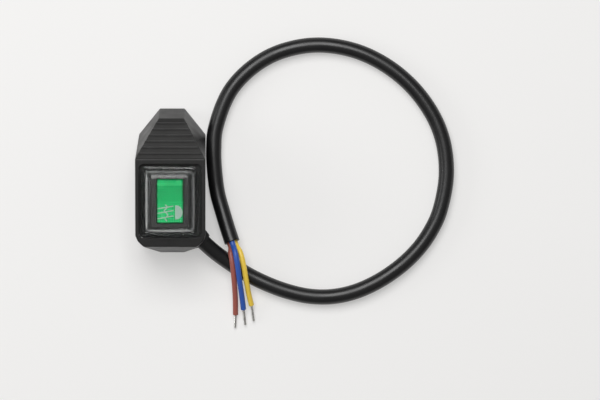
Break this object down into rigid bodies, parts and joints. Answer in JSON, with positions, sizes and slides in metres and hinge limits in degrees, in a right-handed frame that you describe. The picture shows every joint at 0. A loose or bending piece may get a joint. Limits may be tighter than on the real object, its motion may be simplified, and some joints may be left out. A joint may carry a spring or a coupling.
{
  "type": "sealed lighted rocker switch in a surface-mount pod",
  "caption": "Wedge-shaped surface-mount pod with a ribbed nose, holding a green lighted rocker under a clear waterproof cap, with a corded tail that ends in stripped leads.",
  "frame": {"origin": "middle of the pod's footprint, on its back face", "axes": "+Z out of the back face towards the user, +Y towards the ribbed nose, +X to the side where the cable lies"},
  "size_m": [0.1231, 0.1132, 0.0357],
  "materials": {
    "pod_plastic": "fine satin moulding",
    "switch_plastic": "satin nylon",
    "black_rubber": "matt",
    "clear_silicone": "clear soft silicone or PVC",
    "green_lens": "translucent green",
    "white_nylon": "natural nylon",
    "brass": "stamped or turned brass",
    "tinned_copper": "tinned strands",
    "spring_steel": "bright steel",
    "cable_black": "smooth PVC",
    "core_brown": "smooth PVC",
    "core_blue": "smooth PVC",
    "core_yellow": "smooth PVC",
    "led_epoxy": "clear epoxy",
    "resistor_coat": "lacquer"
  },
  "bodies": {
    "pod": {"front_housing": "pod_plastic", "back_cover": "pod_plastic", "cover_gasket": "black_rubber", "cover_screw_1": "spring_steel", "cover_screw_2": "spring_steel", "cover_screw_3": "spring_steel", "cover_screw_4": "spring_steel", "mounting_insert_1": "brass", "mounting_insert_2": "brass", "boot_cap": "clear_silicone", "switch_body": "switch_plastic", "supply_terminal": "brass", "load_terminal": "brass", "lamp_terminal": "brass", "led_lamp": "led_epoxy", "led_resistor": "resistor_coat", "solder_sleeve_supply": "black_rubber", "solder_sleeve_load": "black_rubber", "solder_sleeve_lamp": "black_rubber", "inner_core_brown": "core_brown", "inner_core_blue": "core_blue", "inner_core_yellow": "core_yellow", "cable_grommet": "black_rubber", "cable_tie": "black_rubber", "cable_sheath": "cable_black", "lead_brown": "core_brown", "lead_blue": "core_blue", "lead_yellow": "core_yellow", "lead_tip_brown": "tinned_copper", "lead_tip_blue": "tinned_copper", "lead_tip_yellow": "tinned_copper"},
    "rocker": {"rocker_button": "green_lens", "plunger_spring": "spring_steel"},
    "plunger": {"rocker_plunger": "white_nylon"},
    "lever": {"contact_lever": "brass"}
  },
  "joints": [
    {"name": "rocker_tilt", "type": "hinge", "parent": "pod", "child": "rocker", "pos_m": [0, -0.00804, 0.02728], "axis": [1, 0, 0], "range_deg": [-22, 0]},
    {"name": "plunger_slide", "type": "slide", "parent": "rocker", "child": "plunger", "axis": [0, -0.2588, 0.9659], "range_m": [0, 0.0005], "stiffness_N_per_m": 400, "springref_m": -0.0015, "deforming": ["plunger_spring"]},
    {"name": "lever_tilt", "type": "hinge", "parent": "pod", "child": "lever", "pos_m": [0, -0.0076, 0.02105], "axis": [1, 0, 0], "range_deg": [0, 16]}
  ],
  "couplings": [
    {"joint": "lever_tilt", "follows": "rocker_tilt", "ratio": -0.7272}
  ]
}
